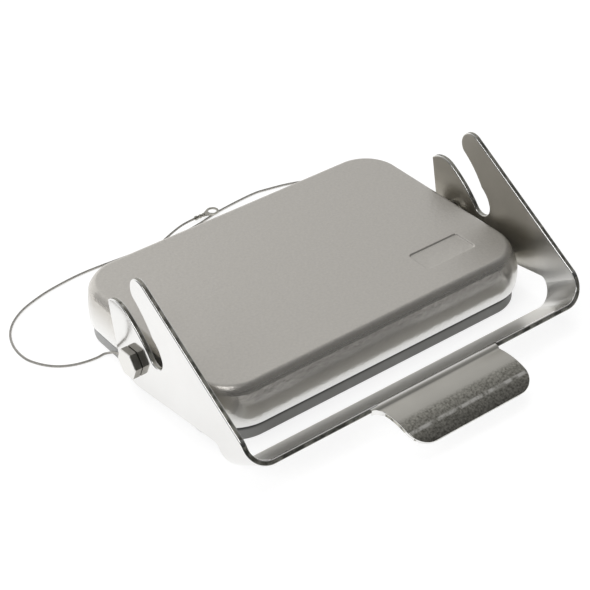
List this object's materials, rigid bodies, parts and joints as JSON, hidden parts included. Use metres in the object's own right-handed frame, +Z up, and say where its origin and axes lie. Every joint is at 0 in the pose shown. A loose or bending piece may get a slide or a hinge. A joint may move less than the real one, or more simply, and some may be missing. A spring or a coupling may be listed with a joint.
{
  "type": "heavy-duty connector cover",
  "caption": "Cast rectangular connector cover with a rim seal, a forked locking lever of bent sheet steel on shoulder bolts, and a thin steel rope that ends in a ring terminal.",
  "frame": {"origin": "centre of the seal's lower face, in the plane that the cover rests on", "axes": "+X along the cap's long side, -Y towards the lever's crossbar, +Z up through the cap's top"},
  "size_m": [0.162, 0.1565, 0.0477],
  "materials": {
    "cap_coat": "die casting, warm grey powder coat",
    "seal_rubber": "matt moulded rubber",
    "lever_steel": "polished stainless sheet",
    "bolt_steel": "turned, satin",
    "lug_metal": "tinned",
    "rope_steel": "stranded steel rope"
  },
  "bodies": {
    "base": {"cover_body": "cap_coat", "seal": "seal_rubber", "bolt_left": "bolt_steel", "bolt_right": "bolt_steel", "cord_eye": "lug_metal", "cord": "rope_steel", "ring_terminal": "lug_metal"},
    "lever_body": {"lever": "lever_steel"}
  },
  "joints": [
    {"name": "lever_swing", "type": "hinge", "parent": "base", "child": "lever_body", "pos_m": [0, -0.0009, 0.01265], "axis": [-1, 0, 0], "range_deg": [0, 88]}
  ]
}
